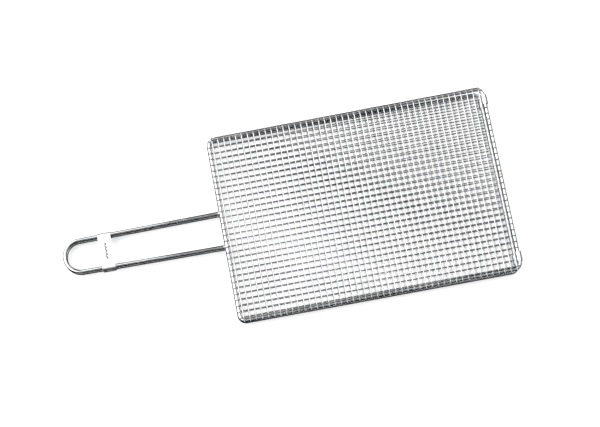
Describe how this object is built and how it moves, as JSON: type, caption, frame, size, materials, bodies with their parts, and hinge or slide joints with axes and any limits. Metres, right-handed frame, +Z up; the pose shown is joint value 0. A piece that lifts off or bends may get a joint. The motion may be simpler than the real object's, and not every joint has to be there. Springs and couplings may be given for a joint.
{
  "type": "grill basket",
  "caption": "Flat hand-held grill basket: two hinged welded-mesh frames with U-shaped rod handles, held shut by a sheet clip that slides along the handles.",
  "frame": {"origin": "centre of the whole object's footprint, on the plane that it rests on", "axes": "+X from the handle to the hinge, +Y across the basket, +Z up"},
  "size_m": [0.4708, 0.2014, 0.0293],
  "materials": {
    "rod_steel": "bright",
    "mesh_steel": "bright",
    "sheet_steel": "satin"
  },
  "bodies": {
    "base": {"base_rim": "rod_steel", "base_rim_weld": "rod_steel", "base_long_wires": "mesh_steel", "base_hinge_wires": "mesh_steel", "base_edge_long_wires": "mesh_steel", "base_cross_wires": "mesh_steel", "base_edge_cross_wires": "mesh_steel", "base_handle": "rod_steel", "base_handle_welds": "rod_steel", "hinge_strap_left": "sheet_steel", "hinge_strap_right": "sheet_steel"},
    "lid": {"lid_rim": "rod_steel", "lid_rim_weld": "rod_steel", "lid_long_wires": "mesh_steel", "lid_hinge_wires": "mesh_steel", "lid_edge_long_wires": "mesh_steel", "lid_cross_wires": "mesh_steel", "lid_edge_cross_wires": "mesh_steel", "lid_handle": "rod_steel", "lid_handle_welds": "rod_steel"},
    "clip": {"lock_clip": "sheet_steel"}
  },
  "joints": [
    {"name": "lid_hinge", "type": "hinge", "parent": "base", "child": "lid", "pos_m": [0.23216, 0, 0.02525], "axis": [0, 1, 0], "range_deg": [0, 180]},
    {"name": "clip_slide", "type": "slide", "parent": "lid", "child": "clip", "axis": [-1, 0, 0], "range_m": [0, 0.018]}
  ]
}
